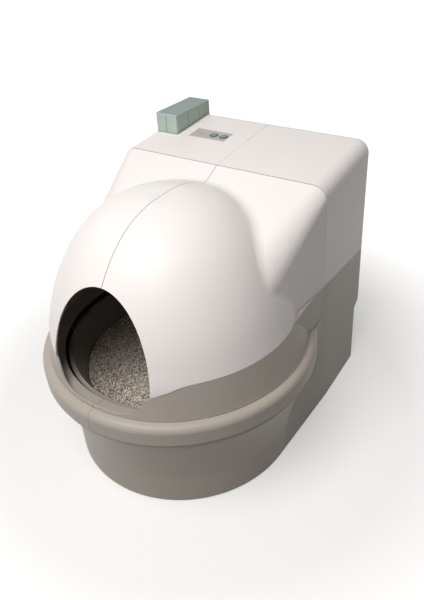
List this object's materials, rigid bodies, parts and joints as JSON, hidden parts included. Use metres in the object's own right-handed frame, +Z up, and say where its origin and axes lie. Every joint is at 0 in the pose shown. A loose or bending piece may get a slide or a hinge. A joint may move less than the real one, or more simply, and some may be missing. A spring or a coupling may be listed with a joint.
{
  "type": "cat litter box with hood",
  "caption": "Hooded self-washing cat litter box: round base and turning bowl, two-part domed hood with arched entrance, rear machine housing with scoop arm, cartridge and keys.",
  "frame": {"origin": "on the floor under the middle of the outline", "axes": "+Z up, -Y towards the entrance, +X to the right seen from the front"},
  "size_m": [0.5, 0.616, 0.526],
  "materials": {
    "hood_white": "satin moulded warm white",
    "base_grey": "fine matt warm grey",
    "inner_grey": "matt",
    "panel_grey": "matt",
    "button_teal": "satin",
    "cartridge_teal": "satin",
    "bowl_plastic": "smooth",
    "granule": "loose washable granules",
    "gear_nylon": "natural",
    "shaft_steel": "ground",
    "motor_can": "black coated can",
    "arm_plastic": "smooth",
    "waste_plastic": "smooth",
    "valve_white": "natural",
    "tube_soft": "soft hose",
    "rubber": "matt",
    "board": "lacquered"
  },
  "bodies": {
    "base": {"base_shell": "base_grey", "wash_deck": "base_grey", "pan_wall": "base_grey", "base_feet": "rubber", "side_wall_right": "base_grey", "side_wall_left": "base_grey", "housing_cover": "hood_white", "front_panel": "inner_grey", "control_board": "board", "control_panel": "panel_grey", "cartridge_dock": "inner_grey", "drive_motor": "motor_can", "arm_bracket": "inner_grey", "arm_motor": "motor_can", "hopper": "waste_plastic", "hopper_outlet": "waste_plastic", "pump_volute": "waste_plastic", "pump_cover": "waste_plastic", "pump_motor": "motor_can", "drain_spigot": "waste_plastic", "water_valve": "valve_white", "fill_tube": "tube_soft", "dosing_tube": "tube_soft", "power_gland": "rubber", "blower_housing": "waste_plastic", "blower_motor": "motor_can"},
    "bowl_body": {"bowl": "bowl_plastic", "granules": "granule", "bowl_gear": "gear_nylon", "drive_spindle": "shaft_steel"},
    "pinion_body": {"drive_pinion": "gear_nylon"},
    "arm_body": {"arm": "arm_plastic", "scoop": "arm_plastic", "arm_shaft": "shaft_steel"},
    "impeller_body": {"impeller": "gear_nylon"},
    "fan_body": {"blower_fan": "gear_nylon"},
    "cartridge_body": {"cartridge": "cartridge_teal"},
    "start_key": {"button_start": "button_teal"},
    "mode_key": {"button_mode": "button_teal"},
    "hood_right_body": {"hood_right": "hood_white"},
    "hood_left_body": {"hood_left": "hood_white"}
  },
  "joints": [
    {"name": "bowl_spin", "type": "hinge", "parent": "base", "child": "bowl_body", "pos_m": [0, -0.058, 0.098], "axis": [0, 0, 1], "continuous": true},
    {"name": "pinion_spin", "type": "hinge", "parent": "base", "child": "pinion_body", "pos_m": [0, 0.022, 0.047], "axis": [0, 0, 1], "continuous": true},
    {"name": "arm_swing", "type": "hinge", "parent": "base", "child": "arm_body", "pos_m": [0, 0.15, 0.262], "axis": [1, 0, 0], "range_deg": [0, 135]},
    {"name": "impeller_spin", "type": "hinge", "parent": "base", "child": "impeller_body", "pos_m": [0, 0.2085, 0.08], "axis": [0, 0, 1], "continuous": true},
    {"name": "fan_spin", "type": "hinge", "parent": "base", "child": "fan_body", "pos_m": [0.13, 0.165, 0.365], "axis": [1, 0, 0], "continuous": true},
    {"name": "cartridge_lift", "type": "slide", "parent": "base", "child": "cartridge_body", "axis": [0, 0, 1], "range_m": [0, 0.14]},
    {"name": "start_press", "type": "slide", "parent": "base", "child": "start_key", "axis": [0, 0.0824, -0.9966], "range_m": [0, 0.001], "stiffness_N_per_m": 600},
    {"name": "mode_press", "type": "slide", "parent": "base", "child": "mode_key", "axis": [0, 0.0824, -0.9966], "range_m": [0, 0.001], "stiffness_N_per_m": 600},
    {"name": "hood_right_lift", "type": "slide", "parent": "base", "child": "hood_right_body", "axis": [0, 0, 1], "range_m": [0, 0.3]},
    {"name": "hood_left_lift", "type": "slide", "parent": "base", "child": "hood_left_body", "axis": [0, 0, 1], "range_m": [0, 0.3]}
  ],
  "couplings": [
    {"joint": "pinion_spin", "follows": "bowl_spin", "ratio": -4}
  ]
}
